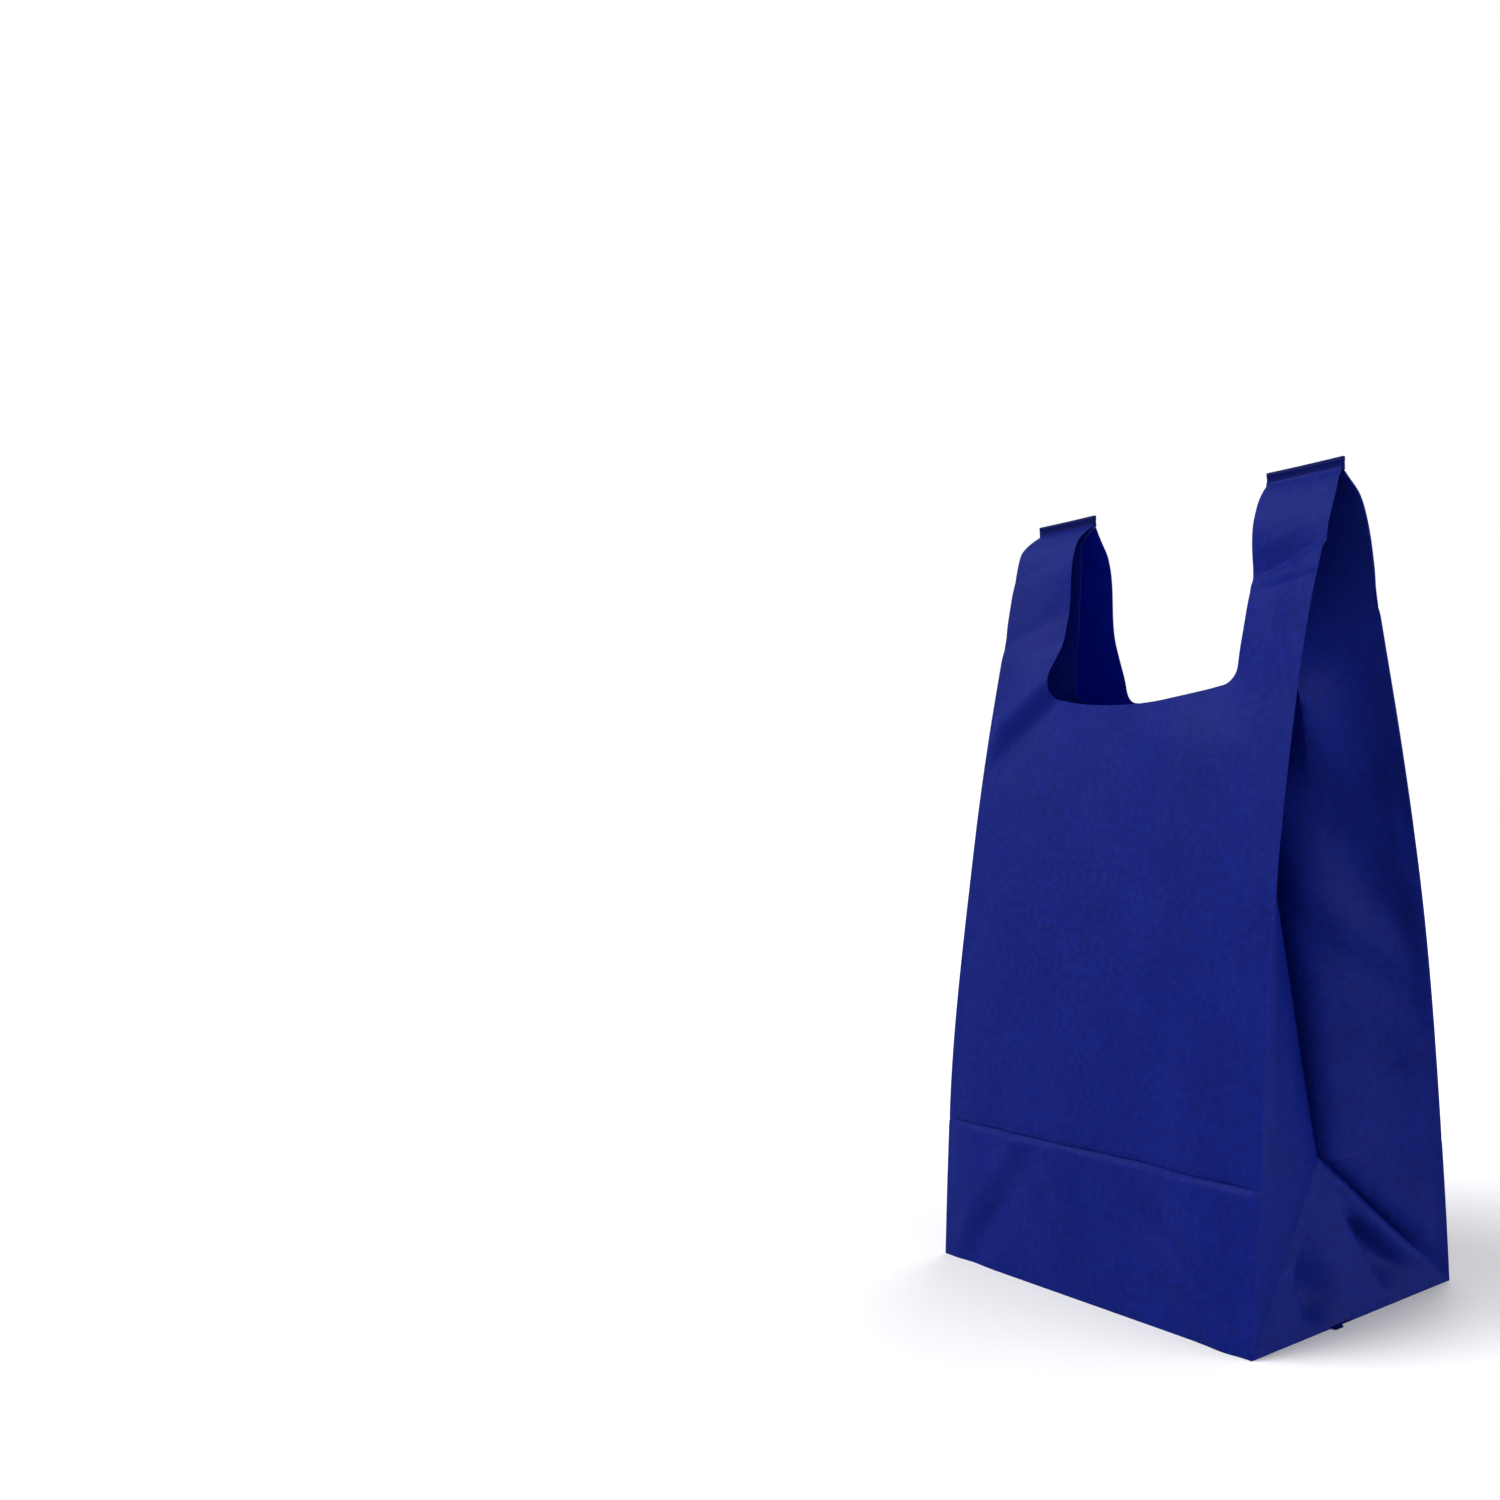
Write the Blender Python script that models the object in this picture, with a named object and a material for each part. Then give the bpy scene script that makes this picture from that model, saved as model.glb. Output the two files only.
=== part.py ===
"""Non-woven t-shirt bag, standing open on its folded base.

One sheet of spunbond polypropylene is folded into a tube with a gusset in each side, closed by
a welded seam under the base, cut with a U between the handles, and welded shut at the handle
tops. Metres, +Z up, +X to the bag's right, the front panel towards -Y. The origin is the middle
of the base, on the surface that the bag stands on.
"""

import math

import bmesh
import bpy

# Outer size
WIDTH = 0.300  # front panel, from side fold to side fold, at the base
DEPTH = 0.198  # base, from front edge to rear edge
HEIGHT = 0.537  # to the top of the handle welds
TOP_INSET = 0.003  # each side fold leans in by this much on its way up

# The sheet and its folds
SHEET = 0.0005  # thickness of the non-woven
LAYER_GAP = 0.0003  # clear space between layers that are folded flat on each other
CREASE_HEIGHT = 0.095  # the crease all round, where the base folds up when the bag is flat
CREASE_DRAW = 0.008  # the crease stands this much further in than the edge of the base
GUSSET_BOW = 0.004  # width that a gusset half loses because the soft sheet bows

# Side view above the crease: one curve, which these two points pull on
WAIST_HEIGHT = 0.315
WAIST_DEPTH = 0.148
SHOULDER_DROP = 0.025  # below the top of the strap
SHOULDER_DEPTH = 0.0358

# Mouth and handles
HANDLE_GAP = 0.176  # clear width between the two handles
MOUTH_HEIGHT = 0.397
MOUTH_SAG = 0.007  # how far the mouth's edge hangs in its middle
MOUTH_CORNER = 0.010  # radius where the mouth runs into a handle

# Welds
WELD_HEIGHT = 0.008
WELD_THICKNESS = 0.0034
WELD_OVERHANG = 0.0013  # past each side of the strap
SEAM_WIDTH = 0.020  # bottom seam, laid flat towards the front
SEAM_THICKNESS = 0.0012
SEAM_TAB = 0.0025  # how far its ends show past the base

# Fineness of the mesh
FRONT_CELLS = 12
GUSSET_CELLS = 6  # in each half of a gusset, and in height up to the crease
UPPER_ROWS = 22
CORNER_STEPS = 5
SAG_STEPS = 12

LAYER = SHEET + LAYER_GAP
TOP_HALF_DEPTH = 1.5 * LAYER  # four layers lie on each other in a handle weld
STRAP_TOP = HEIGHT - WELD_HEIGHT
CREASE_HALF_DEPTH = DEPTH / 2 - CREASE_DRAW
UNDERSIDE = SHEET / 2  # the middle of the sheet runs this far above the ground


def clear_scene():
    for thing in list(bpy.data.objects):
        bpy.data.objects.remove(thing)


def bezier(points, t):
    """A point on the cubic curve of four (height, half depth) points."""
    s = 1 - t
    weights = (s * s * s, 3 * s * s * t, 3 * s * t * t, t * t * t)
    return tuple(sum(w * p[k] for w, p in zip(weights, points)) for k in range(2))


def side_outline():
    """(height, half depth) of the panels' rows, from the base up into the handle weld."""
    rows = []
    for row in range(GUSSET_CELLS):
        share = row / GUSSET_CELLS
        half_depth = DEPTH / 2 - share * CREASE_DRAW
        rows.append((share * CREASE_HEIGHT, half_depth))
    curve = (
        (CREASE_HEIGHT, CREASE_HALF_DEPTH),
        (WAIST_HEIGHT, WAIST_DEPTH / 2),
        (STRAP_TOP - SHOULDER_DROP, SHOULDER_DEPTH / 2),
        (STRAP_TOP, TOP_HALF_DEPTH),
    )
    rows += [bezier(curve, row / UPPER_ROWS) for row in range(UPPER_ROWS + 1)]
    rows.append((HEIGHT - WELD_HEIGHT / 2, TOP_HALF_DEPTH))
    return rows


def half_width(height):
    return WIDTH / 2 - TOP_INSET * height / HEIGHT


def tuck(half_depth):
    """How far a gusset's centre fold lies inside the side folds, at a place of this half depth."""
    flat_half = DEPTH / 2 - GUSSET_BOW
    return math.sqrt(max(0.0, flat_half * flat_half - half_depth * half_depth))


def gusset_half(row, height, half_depth):
    """Points (x, y, z) of a gusset's front half in one row, from the side fold to the centre fold.

    Up to the crease the half has a diagonal crease, from the base's corner to the apex of the
    base triangle: a flat wing lies in front of it, and half of the triangle lies behind it.
    """
    outer = half_width(height)
    front = -half_depth + LAYER
    if row >= GUSSET_CELLS:
        inner = outer - tuck(half_depth)
        ends = ((outer, front, height), (inner, -LAYER / 2, height))
        return [between(*ends, cell / GUSSET_CELLS) for cell in range(GUSSET_CELLS + 1)]
    at_crease = half_width(CREASE_HEIGHT)
    deep = tuck(CREASE_HALF_DEPTH)
    corner = (WIDTH / 2, -DEPTH / 2 + LAYER, 0.0)
    base_middle = (WIDTH / 2, -LAYER / 2, 0.0)
    fold = (at_crease, -CREASE_HALF_DEPTH + LAYER, CREASE_HEIGHT)
    apex = (at_crease - deep, -LAYER / 2, CREASE_HEIGHT)
    up = row / GUSSET_CELLS
    points = []
    for cell in range(GUSSET_CELLS + 1):
        across = cell / GUSSET_CELLS
        if across <= up:
            steps = (up, corner, fold), (across, fold, apex)
        else:
            steps = (across, corner, base_middle), (up, base_middle, apex)
        points.append(
            tuple(corner[k] + sum(s * (b[k] - a[k]) for s, a, b in steps) for k in range(3))
        )
    return points


def between(a, b, share):
    return tuple(p + share * (q - p) for p, q in zip(a, b))


def ring(row, height, half_depth):
    """Points once round the bag in one row, from the front left fold towards the right."""
    outer = half_width(height)
    front = []
    for cell in range(FRONT_CELLS + 1):
        front.append((outer * (2 * cell / FRONT_CELLS - 1), -half_depth, height))
    right_front = gusset_half(row, height, half_depth)
    right_rear = [(x, -y, z) for x, y, z in reversed(right_front)]
    rear = [(-x, -y, z) for x, y, z in front]
    side = right_front + right_rear
    left = [(-x, -y, z) for x, y, z in side]
    return front + side + rear + left


def sheet_mesh():
    """The folded sheet's middle surface: the walls row by row, and the base."""
    mesh = bmesh.new()
    rows = []
    for row, (height, half_depth) in enumerate(side_outline()):
        points = ring(row, height, half_depth)
        rows.append([mesh.verts.new((x, y, z + UNDERSIDE)) for x, y, z in points])
    count = len(rows[0])
    for row, (lower, upper) in enumerate(zip(rows, rows[1:])):
        for i in range(count):
            j = (i + 1) % count
            add_wall_cell(mesh, lower[i], lower[j], upper[j], upper[i], row, i)
    add_base(mesh, rows[0])
    bmesh.ops.recalc_face_normals(mesh, faces=mesh.faces)
    return mesh


def add_wall_cell(mesh, a, b, c, d, row, i):
    """One cell of the wall. Up to the crease, gusset cells are cut along the diagonal creases."""
    side = 2 * GUSSET_CELLS + 2
    half = FRONT_CELLS + 1 + side
    across = i % half - (FRONT_CELLS + 1)
    if row >= GUSSET_CELLS or not 0 <= across < side - 1 or across == GUSSET_CELLS:
        mesh.faces.new((a, b, c, d))
    elif across < GUSSET_CELLS:
        mesh.faces.new((a, b, c))
        mesh.faces.new((a, c, d))
    else:
        mesh.faces.new((a, b, d))
        mesh.faces.new((b, c, d))


def add_base(mesh, lowest):
    """The flat base, on the lines that the walls' lowest row ends on."""
    front = lowest[: FRONT_CELLS + 1]
    side = 2 * GUSSET_CELLS + 2
    right = lowest[FRONT_CELLS + 1 : FRONT_CELLS + 1 + side]
    rear = lowest[FRONT_CELLS + 1 + side : 2 * (FRONT_CELLS + 1) + side][::-1]
    left = lowest[2 * (FRONT_CELLS + 1) + side :][::-1]
    lines = [front]
    for edge_left, edge_right in zip(left, right):
        inner = []
        for cell in range(1, FRONT_CELLS):
            inner.append(mesh.verts.new(between(edge_left.co, edge_right.co, cell / FRONT_CELLS)))
        lines.append([edge_left, *inner, edge_right])
    lines.append(rear)
    for near, far in zip(lines, lines[1:]):
        for cell in range(FRONT_CELLS):
            mesh.faces.new((near[cell], far[cell], far[cell + 1], near[cell + 1]))


def mouth_outline():
    """(x, z) points of the U between the handles, from its upper left down and round."""
    top = HEIGHT + WELD_HEIGHT
    inner = HANDLE_GAP / 2
    right = [(inner, top)]
    for step in range(CORNER_STEPS + 1):
        angle = math.radians(90) * step / CORNER_STEPS
        x = inner - MOUTH_CORNER * (1 - math.cos(angle))
        right.append((x, MOUTH_HEIGHT + MOUTH_CORNER * (1 - math.sin(angle))))
    reach = inner - MOUTH_CORNER
    sag = []
    for step in range(1, SAG_STEPS):
        x = reach * (2 * step / SAG_STEPS - 1)
        sag.append((x, MOUTH_HEIGHT - MOUTH_SAG * (1 - (x / reach) ** 2)))
    left = [(-x, z) for x, z in right]
    return left + sag + right[::-1]


def prism(outline, near, far):
    """A closed solid: the (x, z) outline drawn out along Y."""
    mesh = bmesh.new()
    lowest = [mesh.verts.new((x, near, z)) for x, z in outline]
    face = mesh.faces.new(lowest)
    drawn = bmesh.ops.extrude_face_region(mesh, geom=[face])
    moved = [v for v in drawn["geom"] if isinstance(v, bmesh.types.BMVert)]
    bmesh.ops.translate(mesh, verts=moved, vec=(0, far - near, 0))
    bmesh.ops.recalc_face_normals(mesh, faces=mesh.faces)
    return mesh


def block(low, high):
    """A closed box between two corners."""
    outline = ((low[0], low[2]), (high[0], low[2]), (high[0], high[2]), (low[0], high[2]))
    return prism(outline, low[1], high[1])


def add_object(name, mesh):
    data = bpy.data.meshes.new(name)
    mesh.to_mesh(data)
    mesh.free()
    thing = bpy.data.objects.new(name, data)
    bpy.context.scene.collection.objects.link(thing)
    return thing


def hide_tool(thing):
    thing.hide_render = True
    thing.display_type = "WIRE"


def combine(target, tool, operation):
    step = target.modifiers.new(tool.name, "BOOLEAN")
    step.operation = operation
    step.solver = "EXACT"
    step.object = tool
    hide_tool(tool)


def blue_non_woven():
    """Dyed spunbond polypropylene: deep blue, matt, with a faint fibre sheen."""
    material = bpy.data.materials.new("blue_non_woven")
    material.use_nodes = True
    shader = material.node_tree.nodes["Principled BSDF"]
    shader.inputs["Base Color"].default_value = (0.009, 0.014, 0.190, 1.0)
    shader.inputs["Roughness"].default_value = 0.75
    shader.inputs["Metallic"].default_value = 0.0
    return material


def handle_weld(name, side):
    """The flat welded strip across a handle's top, on the side +1 or -1."""
    inner = HANDLE_GAP / 2 - WELD_OVERHANG
    outer = half_width(HEIGHT) + WELD_OVERHANG
    low_x, high_x = sorted((side * inner, side * outer))
    low = (low_x, -WELD_THICKNESS / 2, STRAP_TOP)
    high = (high_x, WELD_THICKNESS / 2, HEIGHT)
    return add_object(name, block(low, high))


def bottom_seam():
    """The base's welded seam, flat on the base, with its ends showing at both sides."""
    reach = WIDTH / 2 + SHEET / 2 + SEAM_TAB
    low = (-reach, -SEAM_WIDTH, UNDERSIDE / 2)
    high = (reach, 0.0, SEAM_THICKNESS)
    return add_object("bottom_seam", block(low, high))


def build_bag():
    bag = add_object("bag", sheet_mesh())
    bag.data.materials.append(blue_non_woven())
    skin = bag.modifiers.new("sheet", "SOLIDIFY")
    skin.thickness = SHEET
    skin.offset = 0.0
    skin.use_even_offset = True
    far = DEPTH
    combine(bag, add_object("mouth_cut", prism(mouth_outline(), -far, far)), "DIFFERENCE")
    combine(bag, handle_weld("left_weld", -1), "UNION")
    combine(bag, handle_weld("right_weld", 1), "UNION")
    combine(bag, bottom_seam(), "UNION")
    return bag


clear_scene()
build_bag()
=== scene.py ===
"""Non-woven t-shirt bag, opened and standing on its folded base. Metres, +Z up.

The front panel faces -Y and the base's middle is the origin, as in the solid model that this
script loads first. Each section below is one part of the bag's make-up, then the studio.
"""

import functools
import math

import bmesh
import bpy
from mathutils import Matrix, Vector, noise


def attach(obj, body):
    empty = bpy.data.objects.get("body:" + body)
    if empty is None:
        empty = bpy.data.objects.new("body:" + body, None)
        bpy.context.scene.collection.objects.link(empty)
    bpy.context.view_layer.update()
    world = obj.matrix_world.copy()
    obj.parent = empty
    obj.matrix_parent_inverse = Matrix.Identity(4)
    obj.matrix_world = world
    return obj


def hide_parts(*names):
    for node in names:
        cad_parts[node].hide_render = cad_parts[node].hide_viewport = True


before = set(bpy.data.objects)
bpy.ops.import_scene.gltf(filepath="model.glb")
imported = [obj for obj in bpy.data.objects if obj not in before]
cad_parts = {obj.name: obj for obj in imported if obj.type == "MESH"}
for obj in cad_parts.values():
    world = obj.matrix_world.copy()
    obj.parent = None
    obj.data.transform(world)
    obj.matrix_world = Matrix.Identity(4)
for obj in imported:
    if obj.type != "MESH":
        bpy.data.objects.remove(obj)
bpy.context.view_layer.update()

# The folded sheet. The real bag is one length of spunbond polypropylene, folded into a tube with
# a gusset in each side. These are its sizes and creases, and the curve that its panels follow
# from the base up to the handle tops.

WIDTH = 0.300  # panel, from side fold to side fold
DEPTH = 0.198  # base, from front edge to rear edge
HEIGHT = 0.537  # from the ground to the top of the handle welds
WELD_HEIGHT = 0.008
STRAP_TOP = HEIGHT - WELD_HEIGHT
SHEET = 0.0004  # its thickness
LAYER = 0.0008  # from one layer's middle to the next, where they lie flat on each other
CREASE_HEIGHT = 0.095  # the crease all round, where the base folds up when the bag is flat
CREASE_DEPTH = 0.182  # from the front panel to the rear one, at the crease
GUSSET_HALF = 0.095  # from a side fold to the gusset's centre fold, along the sheet
BASE_INSET = 0.0035  # the side folds stand closer together at the base than half way up
STRAP_SPREAD = 0.0015  # and further apart in the handles, all of it from SPREAD_TOP up
SPREAD_TOP = STRAP_TOP - 0.030
STRAP_GATHER = 0.0035  # the welds gather the straps again, from GATHER_FROM up
GATHER_FROM = STRAP_TOP - 0.016
OUTLINE = (  # (height, half depth): one cubic curve from the crease to the handle weld
    (CREASE_HEIGHT, CREASE_DEPTH / 2),
    (0.315, 0.074),
    (STRAP_TOP - 0.025, 0.0179),
    (STRAP_TOP, 1.5 * LAYER),
)


def smooth(low, high, value):
    """0 below low, 1 above high, and a soft step between."""
    t = min(1.0, max(0.0, (value - low) / (high - low)))
    return t * t * (3 - 2 * t)


def between(value, begins, full, lessens, ends):
    """0 outside, 1 in the middle, and a soft step at each side."""
    return smooth(begins, full, value) * (1 - smooth(lessens, ends, value))


def mix(a, b, share):
    """a where the share is 0, b where it is 1."""
    return a + (b - a) * share


@functools.lru_cache(maxsize=None)
def half_depth_at(height):
    """Distance of the panels from the bag's middle plane, before its waves and leans."""
    if height <= CREASE_HEIGHT:
        return mix(DEPTH / 2, CREASE_DEPTH / 2, height / CREASE_HEIGHT)
    low, high = 0.0, 1.0
    for _ in range(26):  # halvings, which leave far less than a micrometre
        t = (low + high) / 2
        s = 1 - t
        weights = (s * s * s, 3 * s * s * t, 3 * s * t * t, t * t * t)
        if sum(w * p[0] for w, p in zip(weights, OUTLINE)) < height:
            low = t
        else:
            high = t
    return sum(w * p[1] for w, p in zip(weights, OUTLINE))


def half_width_at(height):
    """Half the width between the side folds, which the base holds in and the straps spread."""
    held = BASE_INSET * math.exp(-height / CREASE_HEIGHT)
    wider = STRAP_SPREAD * smooth(MOUTH_HEIGHT, SPREAD_TOP, height)
    gathered = STRAP_GATHER * smooth(GATHER_FROM, STRAP_TOP, height)
    return WIDTH / 2 - held + wider - gathered


# How this bag stands. It is open a little wider on its right than on its left. The stiff handle
# welds lean back, the left one most, and the rear straps bulge in a shoulder just below them.

WIDER_OPEN = 0.0035
WIDER_BETWEEN = (0.10, 0.28, 0.44, 0.52)  # heights where this begins, is full, lessens and ends
WELD_BACK = {1: 0.004, -1: 0.010}  # by side: 1 is the bag's right
WELD_LEAN_FROM = 0.512  # the straps bend back above this height
SHOULDER_OUT = {1: 0.0090, -1: 0.0125}
SHOULDER_FROM = 0.440
SHOULDER_HEIGHT = 0.506  # where it stands out most


def handle_centre(side, height):
    """How far to the rear of the bag's middle plane a handle's own middle lies."""
    up = min(1.0, max(0.0, (height - WELD_LEAN_FROM) / (STRAP_TOP - WELD_LEAN_FROM)))
    return WELD_BACK[side] * up * up


def fold_depth(panel, across, height):
    """Distance of a panel from the middle plane, at this distance to the right of the middle."""
    side = 1 if across > 0 else -1
    wider = WIDER_OPEN * across / (WIDTH / 2) * between(height, *WIDER_BETWEEN)
    depth = half_depth_at(height) + wider
    if panel == "front":
        return depth - handle_centre(side, height)
    past = min(1.0, max(0.0, (height - SHOULDER_HEIGHT) / (STRAP_TOP - SHOULDER_HEIGHT)))
    shoulder = smooth(SHOULDER_FROM, SHOULDER_HEIGHT, height) * (1 - past * past)
    return depth + handle_centre(side, height) + SHOULDER_OUT[side] * shoulder


# The mouth and handles. A U is punched out of the folded bag, which leaves two handles of four
# layers each: a strip of the front panel, two of the gusset, and one of the rear panel.

HANDLE_GAP = 0.176
MOUTH_HEIGHT = 0.397
MOUTH_SAG = 0.0075  # its middle hangs this far below its ends
MOUTH_CORNER = 0.011  # radius where the mouth runs into a handle
MOUTH_TOP = MOUTH_HEIGHT + MOUTH_CORNER
MOUTH_EASE = 0.060  # the mesh's rows bend into the mouth's curve over this height
STRIP = WIDTH / 2 - HANDLE_GAP / 2  # width of each layer of a handle


def mouth_edge(flat):
    """Height of the cut edge between the handles, at this distance from the bag's middle line."""
    straight = HANDLE_GAP / 2 - MOUTH_CORNER
    if flat <= straight:
        return MOUTH_HEIGHT - MOUTH_SAG * (1 - (flat / straight) ** 2)
    along = min(1.0, (flat - straight) / MOUTH_CORNER)
    return MOUTH_HEIGHT + MOUTH_CORNER * (1 - math.sqrt(1 - along * along))


# Soft waves and creases. The cloth is limp but springy, so its panels carry long shallow waves
# and sharp thin creases from when the bag was packed flat, most of them across the straps.

SEED = 7.3
NOISE_GAIN = 1.6  # the noise keeps well within -1 and 1, and this brings it near them
CREASE_POWER = 1.3  # the sides of a sharp crease are a little hollow
ROLL_GAIN = 2.33  # brings the top of a roll to 1


def drift(across, height, wide, tall, seed):
    """Smooth random waves between about -1 and 1, with the given wavelengths."""
    return NOISE_GAIN * noise.noise(Vector((across / wide, height / tall, SEED + seed)))


def waves(kinds, across, height, seed):
    """The sum of several kinds of drift, each given as (size, width, length, its own seed)."""
    out = 0.0
    for size, wide, tall, own_seed in kinds:
        out += size * drift(across, height, wide, tall, seed + own_seed)
    return out


def across_line(across, height, start, end):
    """How far a point lies above the line from start to end, and how far past its ends."""
    line = Vector(end) - Vector(start)
    offset = Vector((across, height)) - Vector(start)
    along = offset.dot(line) / line.length_squared
    above = (offset.y * line.x - offset.x * line.y) / line.length
    return above, max(0.0, -along, along - 1) * line.length


def crease(across, height, start, end, upper, lower, fade=0.012):
    """1 on a sharp crease, falling to 0 this far above it and below it."""
    above, past = across_line(across, height, start, end)
    away = above / upper if above > 0 else -above / lower
    return max(0.0, 1 - away) ** CREASE_POWER * (1 - smooth(0.0, fade, past))


def roll(across, height, start, end, width, fade=0.030):
    """A soft fold: 1 on its upper side, -1 on its lower side, with the line half way."""
    above, past = across_line(across, height, start, end)
    steep = above / width
    return ROLL_GAIN * steep * math.exp(-steep * steep) * (1 - smooth(0.0, fade, past))


CREASES = {  # (start, end, reach above, reach below, depth) in the panel's plane
    "front": (
        ((0.084, 0.464), (0.152, 0.482), 0.018, 0.0048, -0.0034),
        ((0.084, 0.457), (0.152, 0.461), 0.005, 0.0120, -0.0014),
        ((0.100, 0.394), (0.152, 0.413), 0.012, 0.014, 0.0008),
        ((-0.152, 0.443), (-0.084, 0.462), 0.016, 0.012, -0.0014),
        ((-0.152, 0.492), (-0.100, 0.505), 0.014, 0.010, -0.0008),
    ),
    "rear": (
        ((0.084, 0.470), (0.152, 0.448), 0.018, 0.010, -0.0018),
        ((-0.152, 0.472), (-0.110, 0.482), 0.022, 0.010, -0.0016),
        ((-0.152, 0.400), (-0.100, 0.388), 0.012, 0.014, 0.0010),
    ),
}
ROLLS = {  # (start, end, half width, height) of the soft folds below the mouth and the crease
    "front": (
        ((-0.160, 0.352), (-0.082, 0.406), 0.016, 0.0040),
        ((0.066, 0.052), (0.126, 0.014), 0.012, -0.0020),
        ((-0.120, 0.016), (-0.070, 0.080), 0.014, 0.0016),
    ),
    "rear": (
        ((0.160, 0.340), (0.082, 0.400), 0.020, 0.0024),
        ((-0.160, 0.352), (-0.082, 0.402), 0.018, 0.0018),
        ((-0.110, 0.060), (-0.050, 0.016), 0.014, 0.0012),
    ),
}
EDGE_CREASE = 0.4  # share of a crease's depth that is left at a strap's inner edge
EDGE_REACH = 0.020  # it is whole this far from the edge
ROLL_HELD = 0.016  # the side folds hold the rolls down over this width


def panel_creases(panel, flat, height):
    """How far the creases and rolls lift a panel here."""
    out = 0.0
    shallow = mix(EDGE_CREASE, 1.0, smooth(0.0, EDGE_REACH, abs(flat) - HANDLE_GAP / 2))
    for start, end, upper, lower, depth in CREASES[panel]:
        out += shallow * depth * crease(flat, height, start, end, upper, lower)
    held = smooth(0.0, ROLL_HELD, WIDTH / 2 - abs(flat))
    for start, end, width, depth in ROLLS[panel]:
        out += held * depth * roll(flat, height, start, end, width)
    return out


GROOVE_DEPTH = 0.0014
GROOVE_WIDTH = 0.0014
GROOVE_ABOVE = 0.0006  # the groove's middle lies this far above the crease
STEP_OUT = 0.0011
STEP_EDGE = (CREASE_HEIGHT - 0.0012, CREASE_HEIGHT + 0.0004)
STEP_FULL = 0.8 * CREASE_HEIGHT  # the step has grown to its full depth up here
CREASE_END = 0.2  # share of both that is left at the side folds
CREASE_END_REACH = 0.012


def base_crease(flat, height):
    """The sharp groove of the crease, and the step out to the panel below it."""
    step = STEP_OUT * between(height, 0.0, STEP_FULL, *STEP_EDGE)
    from_groove = (height - CREASE_HEIGHT - GROOVE_ABOVE) / GROOVE_WIDTH
    groove = GROOVE_DEPTH * math.exp(-(from_groove**2))
    held = mix(CREASE_END, 1.0, smooth(0.0, CREASE_END_REACH, WIDTH / 2 - abs(flat)))
    return (step - groove) * held


FOLD_PLACE = {"front": 0.048, "rear": -0.035}  # to the right of the middle line, at FOLD_LEVEL
FOLD_LEVEL = 0.3
FOLD_LEAN = 0.05  # it leans to the left by this share of the height
FOLD_BETWEEN = (0.12, 0.24, 0.36, 0.41)
FOLD_OUT = 0.0050
FOLD_WIDTH = 0.026


def standing_fold(panel, flat, height):
    """The long soft fold that stands up each panel, where the sheet was wound on its roll."""
    middle = FOLD_PLACE[panel] - FOLD_LEAN * (height - FOLD_LEVEL)
    ridge = math.exp(-(((flat - middle) / FOLD_WIDTH) ** 2))
    return FOLD_OUT * between(height, *FOLD_BETWEEN) * ridge


PANEL_SEED = {"front": 0.0, "rear": 20.0}
PANEL_WAVES = (  # (size, width, length, seed): broad waves, narrower folds and fine cockles
    (0.0028, 0.100, 0.300, 0),
    (0.0013, 0.034, 0.160, 3),
    (0.0003, 0.018, 0.024, 8),
)
SLANTED_WAVES = ((0.0009, 0.024, 0.300, 5),)  # below the crease, where the sheet is pulled askew
SLANT = 0.8


def panel_waves(panel, flat, height):
    """How far a panel stands out from its plain shape."""
    seed = PANEL_SEED[panel]
    from_fold = 1 - abs(flat) / (WIDTH / 2)
    free = smooth(0.0, 0.22, from_fold) * between(height, 0.0, 0.05, 0.47, STRAP_TOP - 0.01)
    out = free * waves(PANEL_WAVES, flat, height, seed)
    below = between(height, 0.0, 0.02, CREASE_HEIGHT - 0.002, CREASE_HEIGHT)
    slanted = waves(SLANTED_WAVES, flat + SLANT * height, height, seed)
    out += slanted * below * smooth(0.0, 0.3, from_fold)
    return out + standing_fold(panel, flat, height)


STRAP_TWIST = {  # by panel and side: how far the inner edge turns in, from and up to what height
    ("front", 1): (0.0100, 0.355, 0.411),
    ("front", -1): (0.0056, 0.412, 0.4452),
    ("rear", 1): (0.0018, 0.340, 0.402),
    ("rear", -1): (-0.0012, 0.360, 0.414),
}
TWIST_ENDS = (0.460, 0.506)  # it lessens and ends at these heights
TWIST_REACH = 0.040  # below the mouth it dies away to this distance from the middle line


def strap_twist(panel, flat, height):
    """How far a strap's inner edge turns in to the middle plane. The panel below follows it."""
    amount, start, full = STRAP_TWIST[panel, 1 if flat > 0 else -1]
    reach = abs(flat)
    if reach > HANDLE_GAP / 2:
        share = (WIDTH / 2 - reach) / STRIP
    else:
        share = smooth(TWIST_REACH, HANDLE_GAP / 2, reach)
    return amount * between(height, start, full, *TWIST_ENDS) * share


# The gussets. Each is a strip 190 mm wide that folds in between the panels. Below the crease it
# opens out into a base triangle, whose middle gives way in two dents beside the seam's end.

OPPOSITE = {"front": "rear", "rear": "front"}
BOTH_WAYS = 0.7  # a half stands at a slant, so what lifts it moves it this share out and aside
FLARE = {"front": 0.0006, "rear": 0.0064}  # each half bulges out close beside a sharp fold
FLARE_REACH = 0.016
REAR_SWING = 0.0035  # long S across a gusset's rear half, high up
SWING_BETWEEN = (0.22, 0.32, 0.38, 0.45)
REAR_ROLLS = (  # as on the panels, but from the side fold inwards
    ((-0.010, 0.222), (0.080, 0.378), 0.026, 0.0028),
    ((-0.010, 0.186), (0.085, 0.250), 0.018, 0.0016),
)
GUSSET_WAVES = ((0.0024, 0.060, 0.170, 0), (0.0008, 0.030, 0.060, 2))
LIP = {"front": 0.0006, "rear": 0.0020}  # the base triangle's upper folds stand out
LIP_WIDTH = 0.005
STRIP_END = {"front": 0.10, "rear": -0.09}  # place of a strip's free edge, as a share of the depth
STRIPS_SWING = (0.328, 0.405)  # heights where the strips begin to swing together, and have met


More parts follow.
